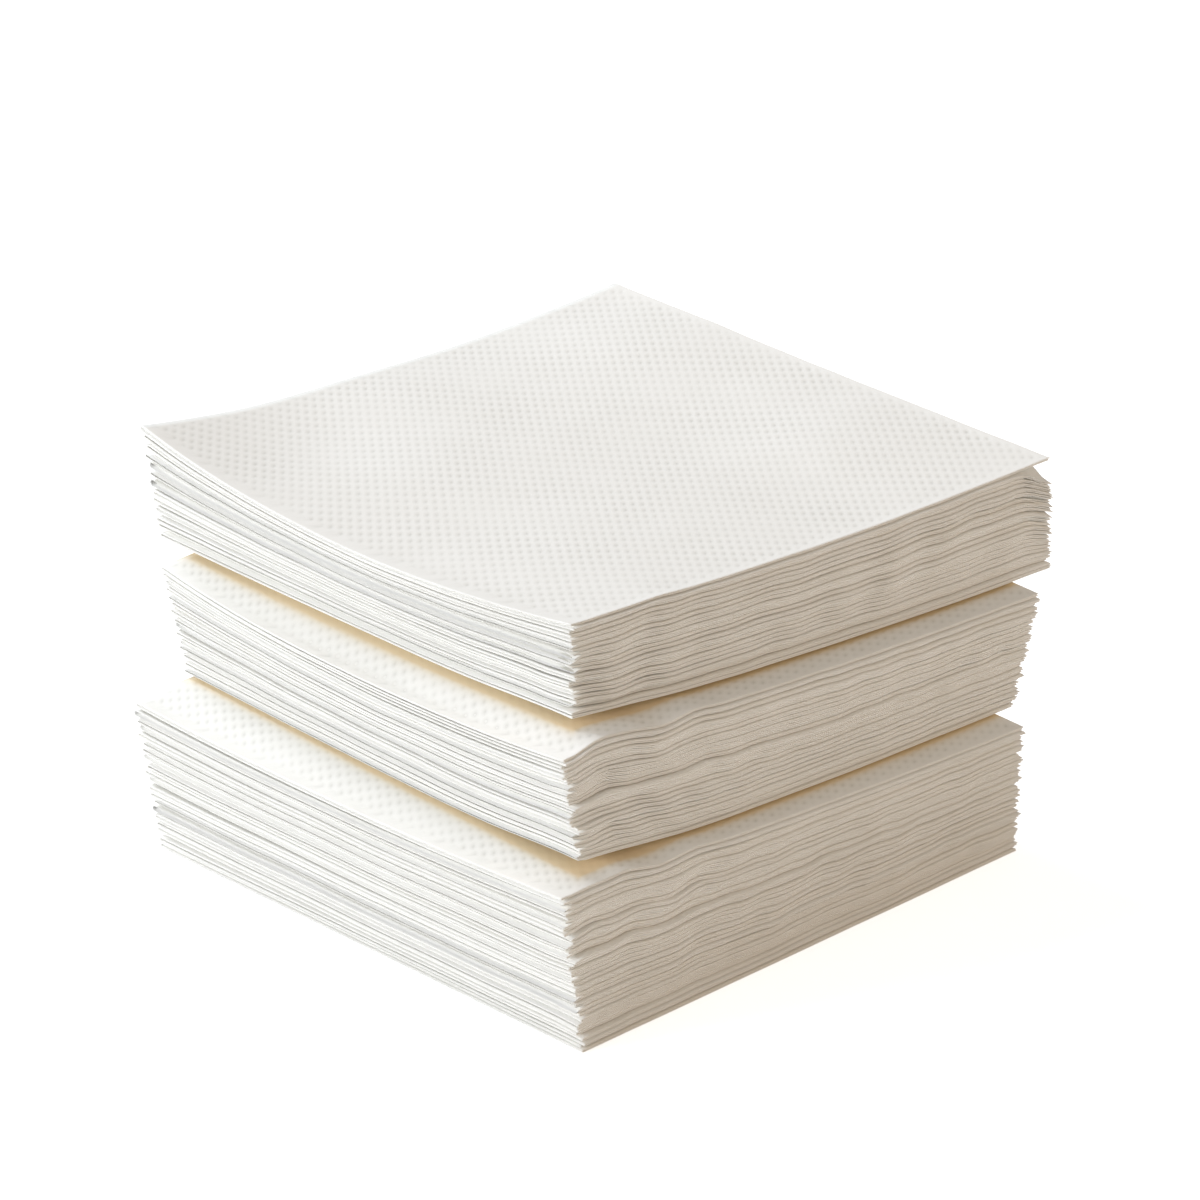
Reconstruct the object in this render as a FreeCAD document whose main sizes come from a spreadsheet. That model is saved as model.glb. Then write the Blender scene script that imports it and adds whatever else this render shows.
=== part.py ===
import FreeCAD
import Part
import math
import os
import Sketcher

# A stack of paper napkins: three bundles of square napkins, each napkin folded twice into quarters.
# Lengths are in millimetres and angles in degrees. +Z is up and the table is Z = 0. The origin is on
# the table, near the middle of the lowest bundle. The stacked folds face -Y and the cut edges +X and +Y.
# In each bundle, shift is the place of its middle, lean is how far its top stands over from its foot,
# turn is its turn about +Z, and fan is how much more its top napkin turns than its lowest one.
SIZES = {
    "folded_side": 125.0,
    "leaf_thickness": 0.34,
    "leaf_gap": 0.12,
    "bottom_count": 20,
    "bottom_shift_x": 3.3,
    "bottom_shift_y": -5.5,
    "bottom_lean_x": 2.0,
    "bottom_lean_y": -4.5,
    "bottom_turn": 1.7,
    "bottom_fan": -1.0,
    "middle_count": 15,
    "middle_shift_x": 1.0,
    "middle_shift_y": 1.0,
    "middle_lean_x": 0.8,
    "middle_lean_y": -1.0,
    "middle_turn": -0.6,
    "middle_fan": -1.8,
    "top_count": 13,
    "top_shift_x": -6.5,
    "top_shift_y": 8.0,
    "top_lean_x": -1.0,
    "top_lean_y": -1.0,
    "top_turn": -0.5,
    "top_fan": 0.8,
    "napkin_stray": 0.45,
    "napkin_twist": 0.3,
}
BUNDLES = ("bottom", "middle", "top")

# Expressions on the sheet's cells, shared by the sketches and the placements.
LEAF = "Sizes.leaf_thickness"
GAP = "Sizes.leaf_gap"
HALF_SIDE = "(Sizes.folded_side / 2)"
THICKNESS = f"(4 * {LEAF} + 3 * {GAP})"
OUTER_FOLD = f"({THICKNESS} / 2)"
STACKED_FOLD = f"({LEAF} + {GAP} / 2)"

# The cuts run past the paper by this much, so that they come out of it cleanly.
OVERRUN = 1.0
# A turn drawn in three flats cuts its corners at this share of its radius.
OCTAGON = math.tan(math.radians(22.5))

# Each napkin strays and twists by its own share, a sine of its level in the stack.
STRAY_STEP_X = 2.4
STRAY_STEP_Y = 3.7
TWIST_STEP = 1.9


def make_sheet(doc):
    """Write the driving dimensions into the document's spreadsheet."""
    sheet = doc.addObject("Spreadsheet::Sheet", "Sizes")
    for row, (alias, value) in enumerate(SIZES.items(), start=1):
        sheet.set(f"A{row}", alias)
        sheet.set(f"B{row}", str(value))
        sheet.setAlias(f"B{row}", alias)
    doc.recompute()
    return sheet


def new_sketch(body, name, role):
    """Add a sketch on one of the body's own origin planes."""
    plane = next(feature for feature in body.Origin.OriginFeatures if feature.Role == role)
    sketch = body.newObject("Sketcher::SketchObject", name)
    sketch.AttachmentSupport = [(plane, "")]
    sketch.MapMode = "FlatFace"
    return sketch


def draw_outline(sketch, corners, half_rounds=()):
    """Draw a closed outline through corners given as pairs of expressions.

    The run that starts at a corner listed in half_rounds goes straight down to the next one as a
    half round that bulges towards -X. The other runs are straight.
    """
    start, end, middle = 1, 2, 3
    origin = (-1, 1)
    points = [
        FreeCAD.Vector(sketch.evalExpression(across), sketch.evalExpression(height), 0)
        for across, height in corners
    ]
    for index, point in enumerate(points):
        following = points[(index + 1) % len(points)]
        if index in half_rounds:
            centre = (point + following) * 0.5
            circle = Part.Circle(centre, FreeCAD.Vector(0, 0, 1), (point - centre).Length)
            sketch.addGeometry(Part.ArcOfCircle(circle, math.pi / 2, 3 * math.pi / 2), False)
        else:
            sketch.addGeometry(Part.LineSegment(point, following), False)
    for index, (across, height) in enumerate(corners):
        following = (index + 1) % len(corners)
        sketch.addConstraint(Sketcher.Constraint("Coincident", index, end, following, start))
        sized = [("DistanceX", start, points[index].x, across), ("DistanceY", start, points[index].y, height)]
        if index in half_rounds:
            sized.append(("DistanceX", middle, points[index].x, across))
        for kind, place, value, expression in sized:
            number = sketch.addConstraint(Sketcher.Constraint(kind, *origin, index, place, value))
            sketch.setExpression(f"Constraints[{number}]", expression)


def draw_section(sketch):
    """Draw the napkin's outline across its second fold: two double leaves joined by a half round."""
    fold = f"{OUTER_FOLD} - {HALF_SIDE}"
    low = f"{OUTER_FOLD} - {GAP} / 2"
    high = f"{OUTER_FOLD} + {GAP} / 2"
    corners = [
        (fold, THICKNESS),
        (fold, "0"),
        (HALF_SIDE, "0"),
        (HALF_SIDE, low),
        (fold, low),
        (fold, high),
        (HALF_SIDE, high),
        (HALF_SIDE, THICKNESS),
    ]
    draw_outline(sketch, corners, half_rounds=(0,))


def turn_corners(across, height, radius):
    """List the corners of a turn pressed into three flats about a centre, from its top to its foot."""
    near = f"{across} - {OCTAGON} * {radius}"
    back = f"{across} - {radius}"
    return [
        (near, f"{height} + {radius}"),
        (back, f"{height} + {OCTAGON} * {radius}"),
        (back, f"{height} - {OCTAGON} * {radius}"),
        (near, f"{height} - {radius}"),
    ]


def draw_between(sketch):
    """Draw the slot between outer and inner leaves, which turns round the inner fold."""
    reach = f"{HALF_SIDE} + {OVERRUN}"
    fold = f"{OUTER_FOLD} - {HALF_SIDE}"
    outer = f"({OUTER_FOLD} - {LEAF})"
    inner = f"({OUTER_FOLD} - {LEAF} - {GAP})"
    outside = turn_corners(fold, OUTER_FOLD, outer)
    inside = turn_corners(fold, OUTER_FOLD, inner)[::-1]
    ends = [(reach, f"{OUTER_FOLD} - {outer}"), (reach, f"{OUTER_FOLD} - {inner}")]
    starts = [(reach, f"{OUTER_FOLD} + {inner}"), (reach, f"{OUTER_FOLD} + {outer}")]
    draw_outline(sketch, outside + ends + inside + starts)


def draw_beside(sketch):
    """Draw what the two stacked folds leave empty at -Y: all that lies outside their turns."""
    fold = f"{STACKED_FOLD} - {HALF_SIDE}"
    upper = turn_corners(fold, f"{THICKNESS} - {STACKED_FOLD}", STACKED_FOLD)
    lower = turn_corners(fold, STACKED_FOLD, STACKED_FOLD)
    back = upper[0][0]
    front = f"-{HALF_SIDE} - {OVERRUN}"
    above = f"{THICKNESS} + {OVERRUN}"
    below = f"-{OVERRUN}"
    around = [(back, below), (front, below), (front, above), (back, above)]
    draw_outline(sketch, upper + lower + around)


def make_napkin(doc, name):
    """Build one napkin: a square sheet folded in half twice, four leaves thick.

    Its second fold turns at -X, one fold of the sheet inside the other. Its first fold lies at -Y,
    where the two halves of the sheet show as two rounded edges, one on the other.
    """
    body = doc.addObject("PartDesign::Body", name)
    body.Label = name

    section = new_sketch(body, f"{name}_section", "XZ_Plane")
    draw_section(section)
    folded = body.newObject("PartDesign::Pad", f"{name}_folded")
    folded.Profile = section
    folded.Midplane = True
    folded.setExpression("Length", "Sizes.folded_side")

    between = new_sketch(body, f"{name}_between", "XZ_Plane")
    between.setExpression("AttachmentOffset.Base.z", f"{HALF_SIDE} - {LEAF}")
    draw_between(between)
    slot = body.newObject("PartDesign::Pocket", f"{name}_slot")
    slot.Profile = between
    slot.Type = "ThroughAll"

    beside = new_sketch(body, f"{name}_beside", "YZ_Plane")
    draw_beside(beside)
    rounded = body.newObject("PartDesign::Pocket", f"{name}_rounded")
    rounded.Profile = beside
    rounded.Type = "ThroughAll"
    rounded.Midplane = True
    body.Tip = rounded
    return body


def place_napkin(napkin, bundle, share, level):
    """Lay a napkin at its level. share runs from 0 at the bundle's foot to 1 at its top."""
    lean = share - 0.5
    strays = {"x": math.sin(level * STRAY_STEP_X), "y": math.sin(level * STRAY_STEP_Y)}
    for axis, stray in strays.items():
        napkin.setExpression(
            f"Placement.Base.{axis}",
            f"Sizes.{bundle}_shift_{axis} + {lean:.4f} * Sizes.{bundle}_lean_{axis}"
            f" + {stray:.4f} * Sizes.napkin_stray",
        )
    twist = math.sin(level * TWIST_STEP)
    napkin.setExpression("Placement.Base.z", f"{level} * {THICKNESS}")
    napkin.setExpression(
        "Placement.Rotation.Angle",
        f"(Sizes.{bundle}_turn + {lean:.4f} * Sizes.{bundle}_fan"
        f" + {twist:.4f} * Sizes.napkin_twist) * 1 deg",
    )


def make_stack(doc, sheet):
    """Lay the bundles one on the other, napkin by napkin."""
    napkins = []
    for bundle in BUNDLES:
        count = int(sheet.get(f"{bundle}_count"))
        for number in range(count):
            napkin = make_napkin(doc, f"{bundle}_napkin_{number + 1:02d}")
            place_napkin(napkin, bundle, number / max(count - 1, 1), len(napkins))
            napkins.append(napkin)
    doc.recompute()
    return napkins


def check(doc, napkins):
    """Stop if any object failed to build, or any napkin isn't one sound solid."""
    for item in doc.Objects:
        if "Invalid" in item.State or "Error" in item.State:
            raise RuntimeError(f"{item.Label} failed to build")
    for napkin in napkins:
        shape = napkin.Shape
        if shape.isNull() or not shape.isValid() or len(shape.Solids) != 1:
            raise RuntimeError(f"{napkin.Label} isn't one sound solid")


def main():
    doc = FreeCAD.newDocument("NapkinStack")
    sheet = make_sheet(doc)
    napkins = make_stack(doc, sheet)
    check(doc, napkins)
    os.makedirs("parts", exist_ok=True)
    for napkin in napkins:
        napkin.Shape.exportStep(os.path.join("parts", f"{napkin.Label}.step"))
    print(f"{len(napkins)} napkins written")


main()
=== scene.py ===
import math

import bmesh
import bpy
import numpy as np
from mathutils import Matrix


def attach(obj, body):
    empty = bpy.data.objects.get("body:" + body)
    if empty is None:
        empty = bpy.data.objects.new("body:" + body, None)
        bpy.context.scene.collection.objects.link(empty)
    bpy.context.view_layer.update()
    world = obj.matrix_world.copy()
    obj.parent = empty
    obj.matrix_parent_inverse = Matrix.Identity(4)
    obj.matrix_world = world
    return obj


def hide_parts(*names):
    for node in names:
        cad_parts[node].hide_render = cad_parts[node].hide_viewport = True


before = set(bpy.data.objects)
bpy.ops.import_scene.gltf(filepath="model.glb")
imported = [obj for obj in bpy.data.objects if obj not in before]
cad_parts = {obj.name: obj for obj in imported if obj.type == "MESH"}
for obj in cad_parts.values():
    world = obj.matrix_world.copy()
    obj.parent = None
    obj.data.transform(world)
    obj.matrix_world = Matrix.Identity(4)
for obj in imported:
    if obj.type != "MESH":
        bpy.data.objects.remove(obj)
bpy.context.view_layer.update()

# A stack of paper napkins in three bundles. Each napkin is one square sheet of tissue, folded twice.
# Lengths here are in millimetres unless a name says otherwise, and the meshes are in metres.
# The stacked folds of every napkin face -Y, its second fold -X, and its cut edges +X and +Y.
#
# A place on the flat sheet is (p, q): p runs across the second fold and q across the first one, both
# from -125 to 125. Where p is positive and q negative lies the leaf that ends up on top. A place in a
# folded napkin is (x, y) from its middle, and its height is counted in napkins.

bl_info = {
    "name": "Napkin Stack",
    "version": (1, 0, 0),
    "blender": (4, 5, 0),
    "location": "3D View > Sidebar > Napkins",
    "description": "Builds a stack of folded paper napkins in three bundles",
    "category": "Add Mesh",
}

MM = 0.001
HALF_SIDE = 62.5
SHEET_HALF = 125.0
NAPKIN_HEIGHT = 1.72

# Where the bundles lie: the same places as the solids have. shift is the middle of the bundle, lean how
# far its top stands over from its foot, turn its turn in degrees and fan how much its top turns further.
BUNDLES = {
    "bottom": {"first": 0, "count": 20, "shift": (3.3, -5.5), "lean": (2.0, -4.5), "turn": 1.7, "fan": -1.0},
    "middle": {"first": 20, "count": 15, "shift": (1.0, 1.0), "lean": (0.8, -1.0), "turn": -0.6, "fan": -1.8},
    "top": {"first": 35, "count": 13, "shift": (-6.5, 8.0), "lean": (-1.0, -1.0), "turn": -0.5, "fan": 0.8},
}
# Each napkin strays and twists by its own share, a sine of its level in the stack.
STRAY_X = 0.45
STRAY_Y = 0.22
TWIST = 0.3
STRAY_STEP_X = 2.4
STRAY_STEP_Y = 3.7
TWIST_STEP = 1.9

# How high the surface between two bundles lies above its level plane: rows from the stacked folds at -Y
# to the cut edges at +Y, and in each row from -X to +X. The last one is the face of the whole stack.
CONTACTS = {
    0: ((0.0, 0.0, 0.0), (0.0, 0.0, 0.0), (0.0, 0.0, 0.0)),
    20: ((1.6, 1.2, 1.4), (0.6, 0.2, -1.6), (-0.4, -1.0, -3.0)),
    35: ((0.4, 0.7, 2.0), (0.4, 0.4, -0.9), (0.0, -0.2, -1.4)),
    48: ((3.8, -1.6, 2.0), (0.6, -0.8, -1.0), (3.8, 1.6, -0.2)),
}
# The surfaces run on past the napkins' edges by this share, and no further.
CONTACT_LIMIT = 1.15
# How far the free edge of each bundle's top hangs below that surface, from its -X to its +X end, and how
# far it bows out.
LIPS = {"bottom": (1.6, 2.0, 1.0), "middle": (0.6, 3.0, 2.2), "top": (0.0, 0.0, 0.3)}
LIP_REACH = 6.0
BOWS = {"bottom": 0.8, "middle": 3.0, "top": 3.0}
BOW_REACH = 25.0
# How far the ends of each bundle's diagonal, from the corner of both folds to the corner of all cut
# edges, lie out of the square, at its foot and at its top: the sheets are folded a little askew.
SPREADS = {"bottom": (-0.3, 1.7), "middle": (-3.7, 0.6), "top": (2.6, 3.7)}
# Ruffles in the upper cut edge at +X: where along Y, how high, and half how long.
RUFFLES = {
    "bottom": ((-46.0, 0.6, 4.0), (-37.0, -0.6, 4.0), (-27.0, 0.5, 4.0)),
    "middle": ((-53.0, 0.5, 5.0), (-38.0, -0.9, 4.5), (-29.0, 0.5, 3.5)),
    "top": ((-40.0, 0.3, 6.0),),
}
RUFFLE_REACH = 9.0
# Swells and hollows of the face of the stack: the middle in X and Y, how high, and how wide.
SWELLS = (
    (-46.0, -40.0, -1.2, 22.0),
    (-50.0, -8.0, 0.7, 20.0),
    (-20.0, -30.0, 0.6, 20.0),
    (8.0, 22.0, -0.7, 22.0),
    (-38.0, 46.0, 0.6, 17.0),
    (-52.0, 56.0, -0.4, 12.0),
    (28.0, 40.0, 0.6, 17.0),
    (42.0, 20.0, -0.5, 17.0),
    (36.0, -36.0, 0.5, 20.0),
)
# At its corner of cut edges, the top bundle droops under its uppermost leaves, which stand off.
DROOP = 4.5
DROOP_REACH = 5.5
# How far the front corner of each bundle's foot stands off what it rests on.
FRONT_RISE = {"bottom": 0.0, "middle": 1.8, "top": 1.2}
RISE_REACH = 22.0
# The lowest napkin of a bundle curls up a little at the folds and cut edges that stand free.
FOOT_LIFT = {"bottom": 0.0, "middle": 0.6, "top": 0.6}
FOOT_REACH = 3.0
# The floor holds a leaf up: its middle stays at least this high, with its two sides this far apart.
FLOOR_GAP = 0.01
FLOOR_RISE = 0.02

# The folded sheet: half the distance between the two leaves of a pair, how much fuller they are in the
# fold, and half the distance between the two pairs.
PAIR_HALF = 0.135
PUFF = 0.02
PUFF_REACH = 1.6
PAIRS_APART = 0.43
# A pressed fold is squarer than a half round: its sine and cosine are taken to this power.
FOLD_POWER = 0.55
# How far a fold lies at most from the middle of its sheet.
OFF_CENTRE = 0.35
PLY_THICKNESS = 0.24
# The cut edges are fluffy, so each leaf is thicker there by this share of itself, and the two leaves of
# a pair stand further apart.
FLUFF = 0.2
SPLAY = 0.04
FLUFF_REACH = 2.5
# At -Y the two folds of some napkins lie closer together, by up to this share of their distance.
FOLDS_PRESSED = 0.1
FOLDS_PRESSED_REACH = 14.0
# How far from the second fold the upper pair of leaves starts to wave apart from the lower one.
PAIRS_PART = 4.0

# Waves of the paper: how many are added up, and the shortest and the longest. Those that neighbours
# share also say how far they shift from one napkin to the next. Heights are shares of a napkin.
OWN_WAVES = (4, 14, 60)
OWN_HEIGHT = 0.04
SHARED_WAVES = (7, 16, 60, 0.5)
SHARED_HEIGHT = 0.05
EDGE_WAVES = (6, 7, 15, 1.0)
EDGE_HEIGHT = 0.045
EDGE_WAVES_REACH = 6.0
# The middle of the sheets is held down to this share of the waves at the cut edges.
HELD_MIDDLE = 0.35
LOOSE_REACH = 12.0
# The shared waves keep their height until close to the bundle's foot and top, by this power.
HELD_POWER = 4
OWN_SEED = 100
SHARED_SEED = 50
PATCH_SEED = 7

# The grid of the flat sheet: half its lines, from the fold outwards.
FOLD_TURN = (PAIR_HALF + PUFF) * math.pi / 2
SECOND_TURN = PAIRS_APART * math.pi / 2
RIM = 124.7
COARSE = (2.5, 5.0, 12.5, 25.0, 37.5, 50.0, 62.5, 75.0, 87.5, 100.0, 112.5, 120.0, RIM, SHEET_HALF)
EVEN = tuple(2.5 * step for step in range(1, 50)) + (RIM, SHEET_HALF)
# Edges of these lengths in the coarse grid are cut into steps where they run along a fold or a cut edge,
# that is nearer to the fold than FOLD_BAND or further out than RIM_BAND.
COARSE_LENGTHS = (5.0, 7.5, 12.5)
EDGE_STEP = 2.5
FOLD_BAND = 5.1
RIM_BAND = 119.9
# Lengths of edges are compared with this slack.
LENGTH_SLACK = 0.01
# The slab reaches this far up and down from its middle, counted in leaves.
SLAB_HALF = 0.5
# The cut edges are soft: further out than THINNED_FROM, the slab thins out to this share.
THINNED_FROM = RIM + 0.1
RIM_THINNING = 0.5
# Where dots show, each edge of the grid is cut this many times.
DOT_CUTS = 3

# The pressed dots, on a lattice along the sheet's diagonals, in steps of DOT_STEP.
DOT_STEP = 0.625
DOT_ACROSS = (2, 2)
DOT_ALONG = (-4, 3)
DOT_DEPTH = 0.21
DOT_WIDTH = 0.45
DOT_LENGTH = 0.95
# The dots end short of the folds and the cut edges, and fade towards them.
DOTS_OFF_FOLD = 1.5
DOTS_OFF_RIM = 0.8
DOTS_FADE = 1.5
# The finer grid for the dots starts this far from the folds.
DOT_GRID_START = 2.5
# The face of a covered bundle is open from q = 0 to OPEN_Q and from p = OPEN_P to the cut edge.
OPEN_Q = -17.5
OPEN_P = 112.5
# The pressing is stronger and weaker in patches.
PATCH_WAVES = (5, 18, 60)
PATCH_MEAN = 0.8
PATCH_RANGE = 0.3
# How far the painted warm shade reaches out from under the next bundle.
PAINTED_CONTACT_SHADE_REACH = 0.9

# The camera, from the photograph: its bearing and height in degrees, the distance in metres, the lens in
# millimetres for a 36 mm frame, and the point it is aimed at.
CAMERA_AZIMUTH = 47.72
CAMERA_ELEVATION = 23.30
CAMERA_DISTANCE = 1.0535
CAMERA_LENS = 156.0
CAMERA_FRAME = 36.0
CAMERA_ASIDE = 0.00181
CAMERA_HEIGHT = 0.05427

# The lamps: where each stands and how wide it is, in metres, its power in watts, and its colour. The key
# lamp stands low, so that little of its light gets into the gaps between the stacked folds.
LAMPS = {
    "key_lamp": ((-0.6, -1.65, 0.42), 0.5, 17.6, "#F6F9FF"),
    "top_lamp": ((-1.1, -0.1, 1.5), 0.8, 20.5, "#F2F7FF"),
    "warm_fill": ((1.35, 0.25, 0.75), 1.2, 4.7, "#FFD3A4"),
}
LAMP_TARGET = (0.0, 0.0, 0.04)
ROOM_LIGHT = "#FBFAF6"
ROOM_STRENGTH = 0.36
FLOOR_REACH = 6.0
FLOOR_GLOW = 0.66


def linear(hex_colour):
    """Turn an sRGB hex value into linear red, green, blue and alpha."""
    values = [int(hex_colour[place : place + 2], 16) / 255 for place in (1, 3, 5)]
    return [v / 12.92 if v <= 0.04045 else ((v + 0.055) / 1.055) ** 2.4 for v in values] + [1.0]


class NapkinSizes(bpy.types.PropertyGroup):
    """Sizes of the paper and its pressed dots."""

    ply_thickness: bpy.props.FloatProperty(
        name="Paper thickness",
        description="Thickness of one leaf of the sheet",
        default=PLY_THICKNESS * MM,
        min=0.0,
        precision=5,
        unit="LENGTH",
    )
    dot_depth: bpy.props.FloatProperty(
        name="Dot depth",
        description="Depth of the pressed dots",
        default=DOT_DEPTH * MM,
        min=0.0,
        precision=5,
        unit="LENGTH",
    )


class NapkinLook(bpy.types.PropertyGroup):
    """Colours of the tissue and the floor."""

    tissue: bpy.props.FloatVectorProperty(
        name="Tissue",
        description="Colour of the soft tissue between the dots",
        default=linear("#F8F7F3"),
        size=4,
        min=0.0,
        max=1.0,
        subtype="COLOR",
    )
    floor: bpy.props.FloatVectorProperty(
        name="Floor",
        description="Colour of the floor",
        default=linear("#F6F6F4"),
        size=4,
        min=0.0,
        max=1.0,
        subtype="COLOR",
    )


def add_node(tree, kind, links=None, **settings):
    """Add a node, set its properties and sockets, and link its inputs."""
    node = tree.nodes.new(kind)
    for name, value in settings.items():
        setattr(node, name, value)
    for socket, source in (links or {}).items():
        if hasattr(source, "is_output"):
            tree.links.new(source, node.inputs[socket])
        else:
            node.inputs[socket].default_value = source
    return node


def parabola(place):
    """Weights of the values at -1, 0 and 1 for a smooth curve through them."""
    return place * (place - 1) / 2, 1 - place * place, place * (place + 1) / 2


def three_by_three(heights, across, along):
    """Smooth surface through three by three heights, for places from -1 to 1."""
    weights_u = parabola(np.clip(across, -CONTACT_LIMIT, CONTACT_LIMIT))
    weights_v = parabola(np.clip(along, -CONTACT_LIMIT, CONTACT_LIMIT))
    return sum(weights_v[j] * weights_u[i] * heights[j][i] for j in range(3) for i in range(3))


def through_three(values, place):
    """Smooth curve through three values, for places from -1 to 1."""
    return sum(weight * value for weight, value in zip(parabola(place), values))


def fading(distance, reach):
    """A share that falls from 1 where the distance is 0 or less."""
    return np.exp(-np.maximum(distance, 0) / reach)


def mound(east, north, reach):
    """A share that falls from 1 at the middle of a round mound."""
    return np.exp(-(east * east + north * north) / reach**2)


def plane_wave(x, y, length, heading, phase):
    """A straight wave of height one."""
    return np.sin((x * math.cos(heading) + y * math.sin(heading)) * 2 * math.pi / length + phase)


def waves(draws, x, y, count, shortest, longest):
    """Sum of seeded waves with a total height of at most one."""
    total = np.zeros_like(x)
    for _ in range(count):
        length = math.exp(draws.uniform(math.log(shortest), math.log(longest)))
        heading = draws.uniform(0, math.pi)
        phase = draws.uniform(0, 2 * math.pi)
        total += plane_wave(x, y, length, heading, phase)
    return total / count


def sheared_waves(draws, x, y, height, count, shortest, longest, shear):
    """Sum of seeded waves of height one that shift with the height in the bundle."""
    total = np.zeros_like(x)
    for _ in range(count):
        length = draws.uniform(shortest, longest)
        heading = draws.uniform(0, math.pi)
        phase = draws.uniform(0, 2 * math.pi) + height * draws.uniform(-shear, shear)
        total += plane_wave(x, y, length, heading, phase)
    return total


def flat_sheet(dotted):
    """Model the flat sheet as a thin closed slab, with a finer grid at its folds and cut edges.

    dotted says which part of the outer face gets a grid fine enough for the pressed dots: None, the
    "rim" that the next bundle leaves open, or "all" of it.
    """
    lines = EVEN if dotted else COARSE
    ways = []
    for turn in (SECOND_TURN, FOLD_TURN):
        half = [turn / 2, turn, *lines]
        ways.append([-value for value in reversed(half)] + [0.0] + half)
    bm = bmesh.new()
    bmesh.ops.create_grid(bm, x_segments=len(ways[0]) - 1, y_segments=len(ways[1]) - 1, size=1.0)
    for vert in bm.verts:
        place = [round((vert.co[axis] + 1) / 2 * (len(ways[axis]) - 1)) for axis in (0, 1)]
        vert.co = (ways[0][place[0]], ways[1][place[1]], 0.0)
    if not dotted:
        for axis in (0, 1):
            for length in COARSE_LENGTHS:
                edges = [edge for edge in bm.edges if runs_along(edge, axis, length)]
                bmesh.ops.subdivide_edges(bm, edges=edges, cuts=round(length / EDGE_STEP) - 1)
    grown = bmesh.ops.extrude_face_region(bm, geom=bm.faces[:])
    for vert in bm.verts:
        vert.co.z = -SLAB_HALF
    for item in grown["geom"]:
        if isinstance(item, bmesh.types.BMVert):
            item.co.z = SLAB_HALF
    bmesh.ops.recalc_face_normals(bm, faces=bm.faces[:])
    if dotted:
        edges = {edge for face in bm.faces if dotted_face(face, dotted) for edge in face.edges}
        bmesh.ops.subdivide_edges(bm, edges=list(edges), cuts=DOT_CUTS, use_grid_fill=True)
    for vert in bm.verts:
        if max(abs(vert.co.x), abs(vert.co.y)) > THINNED_FROM:
            vert.co.z *= RIM_THINNING
    # Folding mirrors the sheet, so its faces are turned first.
    bmesh.ops.reverse_faces(bm, faces=bm.faces[:])
    layer = bm.loops.layers.uv.new("sheet")
    for face in bm.faces:
        face.smooth = True
        for loop in face.loops:
            loop[layer].uv = [loop.vert.co[axis] / (2 * SHEET_HALF) + 0.5 for axis in (0, 1)]
    mesh = bpy.data.meshes.new("flat_sheet")
    bm.to_mesh(mesh)
    bm.free()
    return mesh


def runs_along(edge, axis, length):
    """Whether an edge of the flat grid runs along a fold or a cut edge, and has that length."""
    first, second = (vert.co for vert in edge.verts)
    if abs(abs(first[axis] - second[axis]) - length) > LENGTH_SLACK:
        return False
    beside = abs(first[1 - axis])
    return beside < FOLD_BAND or beside > RIM_BAND


def dotted_face(face, dotted):
    """Whether a face of the slab lies on the outer leaf's upper side, where dots show."""
    middle = face.calc_center_median()
    if middle.z < SLAB_HALF / 2 or middle.x < DOT_GRID_START or middle.y > -DOT_GRID_START:
        return False
    return dotted == "all" or middle.y > OPEN_Q or middle.x > OPEN_P


def dots(p, q):
    """Depth from 0 to 1 of the pressed dots at places on the flat sheet."""
    (ax, ay), (bx, by) = DOT_ACROSS, DOT_ALONG
    area = ax * by - ay * bx
    s, t = p / DOT_STEP, q / DOT_STEP
    first = (s * by - t * bx) / area
    second = (t * ax - s * ay) / area
    first -= np.round(first)
    second -= np.round(second)
    over = (first * ax + second * bx) * DOT_STEP
    up = (first * ay + second * by) * DOT_STEP
    wide = (over + up) / math.sqrt(2) / DOT_WIDTH
    long = (up - over) / math.sqrt(2) / DOT_LENGTH
    return np.exp(-(wide * wide + long * long))


def pressed_share(flat, bundle):
    """How far each point of a flat sheet is pressed down by the dots that show, from 0 to 1."""
    p, q = flat[:, 0], flat[:, 1]
    shown = (flat[:, 2] > 0) & (q < 0) & (p > 0)
    if bundle != "top":
        shown = shown & ((q > OPEN_Q) | (p > OPEN_P))
    from_fold = np.minimum(p, -q) - DOTS_OFF_FOLD
    from_rim = SHEET_HALF - DOTS_OFF_RIM - np.maximum(p, -q)
    shown = shown * np.clip(np.minimum(from_fold, from_rim) / DOTS_FADE, 0, 1)
    patchy = PATCH_MEAN + PATCH_RANGE * waves(np.random.default_rng(PATCH_SEED), p, q, *PATCH_WAVES)
    return shown * patchy * dots(p, np.abs(q))


def painted_contact_shade_share(laid, above):
    """How far each point of a top napkin lies under the bundle above, from 0 to 1: its share of painted warm
    shade.
    """
    facts = BUNDLES[above]
    foot, _ = SPREADS[above]
    angle = -math.radians(facts["turn"] - facts["fan"] / 2)
    east = laid[:, 0] / MM - facts["shift"][0] + facts["lean"][0] / 2
    north = laid[:, 1] / MM - facts["shift"][1] + facts["lean"][1] / 2
    x = east * math.cos(angle) - north * math.sin(angle)
    y = east * math.sin(angle) + north * math.cos(angle)
    spread = foot * (x + y) / (2 * HALF_SIDE) / math.sqrt(2)
    outside = np.maximum(np.abs(x - spread), np.abs(y - spread)) - HALF_SIDE
    return fading(outside, PAINTED_CONTACT_SHADE_REACH)


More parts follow.
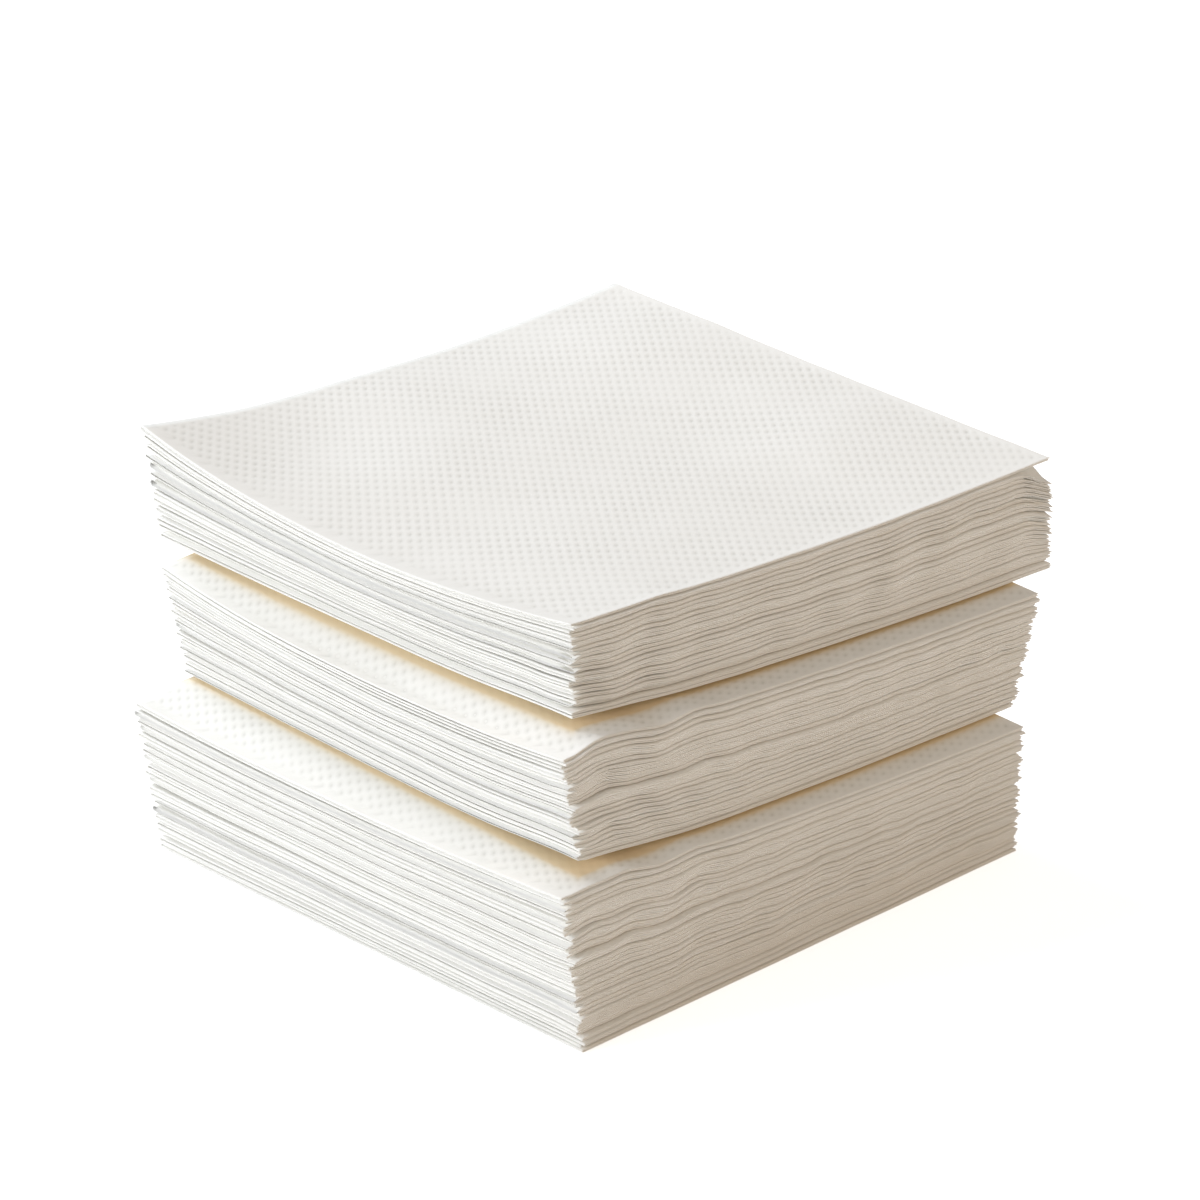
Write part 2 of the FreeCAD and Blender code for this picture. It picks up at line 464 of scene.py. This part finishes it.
def fold_twice(p, q, w, splay, ply):
    """Fold places on the flat sheet into quarters. Returns x, y and the height above the middle."""
    radius = PAIR_HALF + PUFF * fading(np.abs(q) - FOLD_TURN, PUFF_REACH) + splay
    angle = np.clip(q / FOLD_TURN, -1, 1) * math.pi / 2
    back = PAIR_HALF + PUFF + ply / 2 - HALF_SIDE
    y = back + np.maximum(np.abs(q) - FOLD_TURN, 0) - (radius + w) * np.cos(angle) ** FOLD_POWER
    n = -(radius + w) * np.sign(angle) * np.abs(np.sin(angle)) ** FOLD_POWER
    angle = np.clip(p / SECOND_TURN, -1, 1) * math.pi / 2
    back = PAIRS_APART + PAIR_HALF + ply / 2 - HALF_SIDE
    x = back + np.maximum(np.abs(p) - SECOND_TURN, 0) - (PAIRS_APART + n) * np.cos(angle)
    h = (PAIRS_APART + n) * np.sin(angle)
    return x, y, h


def skew(x, y, bundle, share):
    """Bow the stacked folds of a napkin out, and spread it along its diagonal."""
    u = np.clip(x / HALF_SIDE, -1, 1)
    y = y - BOWS[bundle] * share**2 * (1 - u * u) * np.exp(-(y + HALF_SIDE) / BOW_REACH)
    foot, head = SPREADS[bundle]
    spread = (foot + (head - foot) * share) * (x + y) / (2 * HALF_SIDE) / math.sqrt(2)
    return x + spread, y + spread


def lay_in_plan(x, y, bundle, number):
    """Turn and shift a napkin to where it lies in the stack, seen from above."""
    facts = BUNDLES[bundle]
    level = facts["first"] + number
    lean = number / (facts["count"] - 1) - 0.5
    angle = math.radians(facts["turn"] + lean * facts["fan"] + math.sin(level * TWIST_STEP) * TWIST)
    east = facts["shift"][0] + lean * facts["lean"][0] + math.sin(level * STRAY_STEP_X) * STRAY_X
    north = facts["shift"][1] + lean * facts["lean"][1] + math.sin(level * STRAY_STEP_Y) * STRAY_Y
    world_x = x * math.cos(angle) - y * math.sin(angle) + east
    world_y = x * math.sin(angle) + y * math.cos(angle) + north
    return world_x, world_y


def wave_height(draws, x, y, h, upper, bundle, number):
    """The height of each point within its bundle, counted in napkins, with the waves of the paper."""
    facts = BUNDLES[bundle]
    to_edge = np.minimum(HALF_SIDE - x, HALF_SIDE - y)
    loose = HELD_MIDDLE + (1 - HELD_MIDDLE) * fading(to_edge, LOOSE_REACH)
    # The two pairs of leaves wave apart from one another.
    own = upper * waves(draws, x, y, *OWN_WAVES) + (1 - upper) * waves(draws, x, y, *OWN_WAVES)
    pressed = 1 - draws.uniform(0, FOLDS_PRESSED) * np.exp(-(y + HALF_SIDE) / FOLDS_PRESSED_REACH)
    height = number + 0.5 + h / NAPKIN_HEIGHT * pressed + OWN_HEIGHT * own * loose

    # Neighbouring napkins share the rest, which dies out at the bundle's foot and top.
    common = np.random.default_rng(SHARED_SEED + facts["first"])
    shared = sheared_waves(common, x, y, height, *SHARED_WAVES)
    held = 1 - (2 * np.clip(height / facts["count"], 0, 1) - 1) ** HELD_POWER
    height = height + SHARED_HEIGHT * shared * loose * held
    edges = sheared_waves(common, x, y, height, *EDGE_WAVES)
    return height + EDGE_HEIGHT * edges * fading(to_edge, EDGE_WAVES_REACH) * held


def surface_under(x, y, u, v, world_x, world_y, bundle):
    """The surface that a bundle rests on, with the parts of its foot that stand off."""
    first = BUNDLES[bundle]["first"]
    contact = three_by_three(CONTACTS[first], world_x / HALF_SIDE, world_y / HALF_SIDE)
    front = mound((1 - u) * HALF_SIDE, (1 + v) * HALF_SIDE, RISE_REACH)
    foot = fading(np.minimum(y + HALF_SIDE, HALF_SIDE - x), FOOT_REACH)
    return first * NAPKIN_HEIGHT + contact + FRONT_RISE[bundle] * front + FOOT_LIFT[bundle] * foot


def surface_over(x, y, u, v, world_x, world_y, hanging, bundle):
    """The surface over a bundle. hanging is the share of each point that follows the droop."""
    last = BUNDLES[bundle]["first"] + BUNDLES[bundle]["count"]
    contact = three_by_three(CONTACTS[last], world_x / HALF_SIDE, world_y / HALF_SIDE)
    lip = through_three(LIPS[bundle], u) * mound(0, y + HALF_SIDE, LIP_REACH)
    over = last * NAPKIN_HEIGHT + contact - lip
    for middle, rise, reach in RUFFLES[bundle]:
        inwards = (1 - u) * HALF_SIDE / RUFFLE_REACH
        over = over + rise * np.exp(-(((y - middle) / reach) ** 2) - inwards)
    if bundle == "top":
        for east, north, rise, reach in SWELLS:
            over = over + rise * mound(x - east, y - north, reach)
        over = over - DROOP * mound((1 - u) * HALF_SIDE, (1 - v) * HALF_SIDE, DROOP_REACH) * hanging
    return over


def lay_napkin(flat, bundle, number, sizes):
    """Place the points of a flat sheet, folded, in the stack. Returns them in metres."""
    facts = BUNDLES[bundle]
    last = number == facts["count"] - 1
    draws = np.random.default_rng(OWN_SEED + facts["first"] + number)
    ply = sizes.ply_thickness / MM
    edge = fading(SHEET_HALF - np.maximum(np.abs(flat[:, 0]), np.abs(flat[:, 1])), FLUFF_REACH)
    w = flat[:, 2] * ply * (1 + FLUFF * edge)
    if last:
        w = w - sizes.dot_depth / MM * pressed_share(flat, bundle)
    # Neither fold lies quite in the middle of the sheet, so the cut edges don't line up.
    p = flat[:, 0] - draws.uniform(-OFF_CENTRE, OFF_CENTRE)
    q = flat[:, 1] - draws.uniform(-OFF_CENTRE, OFF_CENTRE)
    x, y, h = fold_twice(p, q, w, SPLAY * edge, ply)

    u = np.clip(x / HALF_SIDE, -1, 1)
    v = np.clip(y / HALF_SIDE, -1, 1)
    x, y = skew(x, y, bundle, number / (facts["count"] - 1))
    world_x, world_y = lay_in_plan(x, y, bundle, number)

    # Only the upper leaves of the topmost napkin stand off where the rest droops.
    upper = 0.5 + 0.5 * np.tanh(p / PAIRS_PART)
    hanging = 1 - upper * (last and bundle == "top")
    height = wave_height(draws, x, y, h, upper, bundle, number)
    under = surface_under(x, y, u, v, world_x, world_y, bundle)
    over = surface_over(x, y, u, v, world_x, world_y, hanging, bundle)
    z = under + (over - under) * height / facts["count"]
    if bundle == "bottom":
        z = np.maximum(z, flat[:, 2] * FLOOR_RISE + FLOOR_GAP)
    return np.stack([world_x, world_y, z], axis=1) * MM


def mix(tree, share, base, other):
    """Blend two colours, sockets or values, by a share."""
    links = {"Factor": share, "A": base, "B": other}
    return add_node(tree, "ShaderNodeMix", links, data_type="RGBA").outputs["Result"]


def tissue_paper(look):
    """Embossed two-ply tissue: matt, soft and faintly warm, with felted fibres and a slight mottle, and
    painted shade in its dots and under the next bundle.
    """
    material = bpy.data.materials.new("embossed_tissue")
    material.use_nodes = True
    tree = material.node_tree
    shader = tree.nodes["Principled BSDF"]
    # Loose fibres scatter nearly all the light, so the paper has no shine, only a faint bloom at its edges.
    shader.inputs["Roughness"].default_value = 0.92
    shader.inputs["IOR"].default_value = 1.45
    shader.inputs["Specular IOR Level"].default_value = 0.2
    shader.inputs["Sheen Weight"].default_value = 0.08
    vector = add_node(tree, "ShaderNodeTexCoord").outputs["Object"]
    # Fibres, about 0.5 mm apart, drawn a little coarser than real so that they show.
    fine = {"Vector": vector, "Scale": 1900.0, "Detail": 4.0, "Roughness": 0.6}
    fibres = add_node(tree, "ShaderNodeTexNoise", fine).outputs["Fac"]
    # Mottle, in patches about 8 mm across, where the ply is thicker or thinner.
    broad = {"Vector": vector, "Scale": 120.0, "Detail": 3.0, "Roughness": 0.55}
    mottle = add_node(tree, "ShaderNodeTexNoise", broad).outputs["Fac"]
    colour = mix(tree, mottle, linear("#F3F2ED"), tuple(look.tissue))
    # The pressed dots are darkened in the colour: painted shade in the dimples, added to the shading that
    # their real depth gives.
    pressed = add_node(tree, "ShaderNodeAttribute", attribute_name="pressed").outputs["Fac"]
    colour = mix(tree, pressed, colour, linear("#DDDCD6"))
    # In the narrow gap under the next bundle the colour turns warm tan: painted shade for the warm contact
    # shadow there.
    painted_contact_shade = add_node(tree, "ShaderNodeAttribute", attribute_name="painted_contact_shade").outputs["Fac"]
    colour = mix(tree, painted_contact_shade, colour, linear("#F0DDBA"))
    relief = add_node(tree, "ShaderNodeBump", {"Height": fibres, "Strength": 0.25, "Distance": 0.00006})
    tree.links.new(colour, shader.inputs["Base Color"])
    tree.links.new(relief.outputs["Normal"], shader.inputs["Normal"])
    return material


def pale_board(look):
    """Matt painted board that the camera sees near white, with the object's shadow kept."""
    material = bpy.data.materials.new("pale_floor")
    material.use_nodes = True
    tree = material.node_tree
    shader = tree.nodes["Principled BSDF"]
    shader.inputs["Base Color"].default_value = tuple(look.floor)
    shader.inputs["Roughness"].default_value = 0.9
    shader.inputs["Specular IOR Level"].default_value = 0.1
    seen = add_node(tree, "ShaderNodeLightPath").outputs["Is Camera Ray"]
    strength = add_node(tree, "ShaderNodeMath", {0: seen, 1: FLOOR_GLOW}, operation="MULTIPLY")
    glow = add_node(tree, "ShaderNodeEmission", {"Strength": strength.outputs[0]})
    both = add_node(tree, "ShaderNodeAddShader", {0: shader.outputs[0], 1: glow.outputs[0]})
    tree.links.new(both.outputs[0], tree.nodes["Material Output"].inputs["Surface"])
    return material


def read_points(mesh):
    """The points of a mesh as an array of X, Y and Z."""
    points = np.empty(len(mesh.vertices) * 3)
    mesh.vertices.foreach_get("co", points)
    return points.reshape(-1, 3)


def write_attribute(mesh, name, values):
    """Store one value for each point of a mesh."""
    mesh.attributes.new(name, "FLOAT", "POINT").data.foreach_set("value", values)


def declare_napkin(context, mesh, bundle, number):
    """Put a napkin's mesh in the scene and say what it stands for and lies on."""
    node = f"{bundle}_napkin_{number + 1:02d}"
    mesh.name = f"{node}_sheet"
    napkin = bpy.data.objects.new(f"{node}_sheet", mesh)
    context.scene.collection.objects.link(napkin)
    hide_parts(node)
    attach(napkin, "root")


def make_bundle(context, bundle, above=None):
    """Model every napkin of a bundle as one folded sheet. above is the bundle that lies on it."""
    material = bpy.data.materials.get("embossed_tissue") or tissue_paper(context.scene.napkin_look)
    plain = flat_sheet(None)
    dotted = flat_sheet("rim" if above else "all")
    count = BUNDLES[bundle]["count"]
    for number in range(count):
        last = number == count - 1
        mesh = (dotted if last else plain).copy()
        flat = read_points(mesh)
        laid = lay_napkin(flat, bundle, number, context.scene.napkin_sizes)
        mesh.vertices.foreach_set("co", laid.ravel())
        if last:
            # This share also darkens the dots in the colour, as painted shade.
            write_attribute(mesh, "pressed", pressed_share(flat, bundle))
        if last and above:
            # Painted warm shade where the napkin lies under the next bundle.
            write_attribute(mesh, "painted_contact_shade", painted_contact_shade_share(laid, above))
        mesh.update()
        mesh.materials.append(material)
        declare_napkin(context, mesh, bundle, number)
    bpy.data.meshes.remove(plain)
    bpy.data.meshes.remove(dotted)


class NAPKINS_OT_bottom_bundle(bpy.types.Operator):
    """Build the bottom bundle of twenty napkins"""

    bl_idname = "napkins.bottom_bundle"
    bl_label = "Bottom bundle"

    def execute(self, context):
        make_bundle(context, "bottom", above="middle")
        return {"FINISHED"}


class NAPKINS_OT_middle_bundle(bpy.types.Operator):
    """Build the middle bundle of fifteen napkins"""

    bl_idname = "napkins.middle_bundle"
    bl_label = "Middle bundle"

    def execute(self, context):
        make_bundle(context, "middle", above="top")
        return {"FINISHED"}


class NAPKINS_OT_top_bundle(bpy.types.Operator):
    """Build the top bundle of thirteen napkins"""

    bl_idname = "napkins.top_bundle"
    bl_label = "Top bundle"

    def execute(self, context):
        make_bundle(context, "top")
        return {"FINISHED"}


def aim(thing, start, target):
    """Stand a camera or lamp at a point and turn it towards another."""
    thing.location = start
    direction = np.array(target) - np.array(start)
    flat_length = math.hypot(direction[0], direction[1])
    tilt = math.atan2(flat_length, -direction[2])
    thing.rotation_euler = (tilt, 0.0, math.atan2(-direction[0], direction[1]))


def lay_floor(context):
    bm = bmesh.new()
    bmesh.ops.create_grid(bm, x_segments=1, y_segments=1, size=FLOOR_REACH)
    mesh = bpy.data.meshes.new("floor")
    bm.to_mesh(mesh)
    bm.free()
    mesh.materials.append(pale_board(context.scene.napkin_look))
    floor = bpy.data.objects.new("floor", mesh)
    context.scene.collection.objects.link(floor)


def hang_lamps(context):
    """Set soft square lamps, aimed at the stack."""
    for name, (start, size, power, colour) in LAMPS.items():
        lamp = bpy.data.lights.new(name, "AREA")
        lamp.shape = "SQUARE"
        lamp.size = size
        lamp.energy = power
        lamp.color = linear(colour)[:3]
        thing = bpy.data.objects.new(name, lamp)
        context.scene.collection.objects.link(thing)
        aim(thing, start, LAMP_TARGET)


def light_room(context):
    """Give the room its soft light, and the camera a white background."""
    world = bpy.data.worlds.new("studio")
    context.scene.world = world
    world.use_nodes = True
    tree = world.node_tree
    light = tree.nodes["Background"]
    light.inputs["Color"].default_value = linear(ROOM_LIGHT)
    light.inputs["Strength"].default_value = ROOM_STRENGTH
    seen = add_node(tree, "ShaderNodeLightPath").outputs["Is Camera Ray"]
    white = add_node(tree, "ShaderNodeBackground", {"Color": linear("#FFFFFF"), "Strength": 1.0})
    pick = add_node(tree, "ShaderNodeMixShader", {0: seen, 1: light.outputs[0], 2: white.outputs[0]})
    tree.links.new(pick.outputs[0], tree.nodes["World Output"].inputs["Surface"])


def set_camera(context):
    """Set the camera where the photograph was taken from."""
    azimuth = math.radians(CAMERA_AZIMUTH)
    elevation = math.radians(CAMERA_ELEVATION)
    target = (CAMERA_ASIDE * math.cos(azimuth), CAMERA_ASIDE * math.sin(azimuth), CAMERA_HEIGHT)
    back = (
        math.sin(azimuth) * math.cos(elevation),
        -math.cos(azimuth) * math.cos(elevation),
        math.sin(elevation),
    )
    data = bpy.data.cameras.new("camera")
    data.sensor_width = CAMERA_FRAME
    data.lens = CAMERA_LENS
    camera = bpy.data.objects.new("camera", data)
    context.scene.collection.objects.link(camera)
    aim(camera, [target[axis] + back[axis] * CAMERA_DISTANCE for axis in range(3)], target)
    context.scene.camera = camera


class NAPKINS_OT_stage(bpy.types.Operator):
    """Lay the floor and set the lamps and the camera"""

    bl_idname = "napkins.stage"
    bl_label = "Stage"

    def execute(self, context):
        lay_floor(context)
        hang_lamps(context)
        light_room(context)
        set_camera(context)
        context.scene.view_settings.view_transform = "Standard"
        return {"FINISHED"}


STEPS = (NAPKINS_OT_bottom_bundle, NAPKINS_OT_middle_bundle, NAPKINS_OT_top_bundle, NAPKINS_OT_stage)


class NAPKINS_PT_panel(bpy.types.Panel):
    """Lists the steps, the sizes and the colours of the napkin stack"""

    bl_idname = "NAPKINS_PT_panel"
    bl_label = "Napkin stack"
    bl_space_type = "VIEW_3D"
    bl_region_type = "UI"
    bl_category = "Napkins"

    def draw(self, context):
        column = self.layout.column()
        for operator in STEPS:
            column.operator(operator.bl_idname)
        column.prop(context.scene.napkin_sizes, "ply_thickness")
        column.prop(context.scene.napkin_sizes, "dot_depth")
        column.prop(context.scene.napkin_look, "tissue")
        column.prop(context.scene.napkin_look, "floor")


CLASSES = (NapkinSizes, NapkinLook, *STEPS, NAPKINS_PT_panel)


def register():
    for item in CLASSES:
        bpy.utils.register_class(item)
    bpy.types.Scene.napkin_sizes = bpy.props.PointerProperty(type=NapkinSizes)
    bpy.types.Scene.napkin_look = bpy.props.PointerProperty(type=NapkinLook)


def unregister():
    del bpy.types.Scene.napkin_look
    del bpy.types.Scene.napkin_sizes
    for item in reversed(CLASSES):
        bpy.utils.unregister_class(item)


def main():
    register()
    bpy.ops.napkins.bottom_bundle()
    bpy.ops.napkins.middle_bundle()
    bpy.ops.napkins.top_bundle()
    bpy.ops.napkins.stage()


if __name__ == "__main__":
    main()
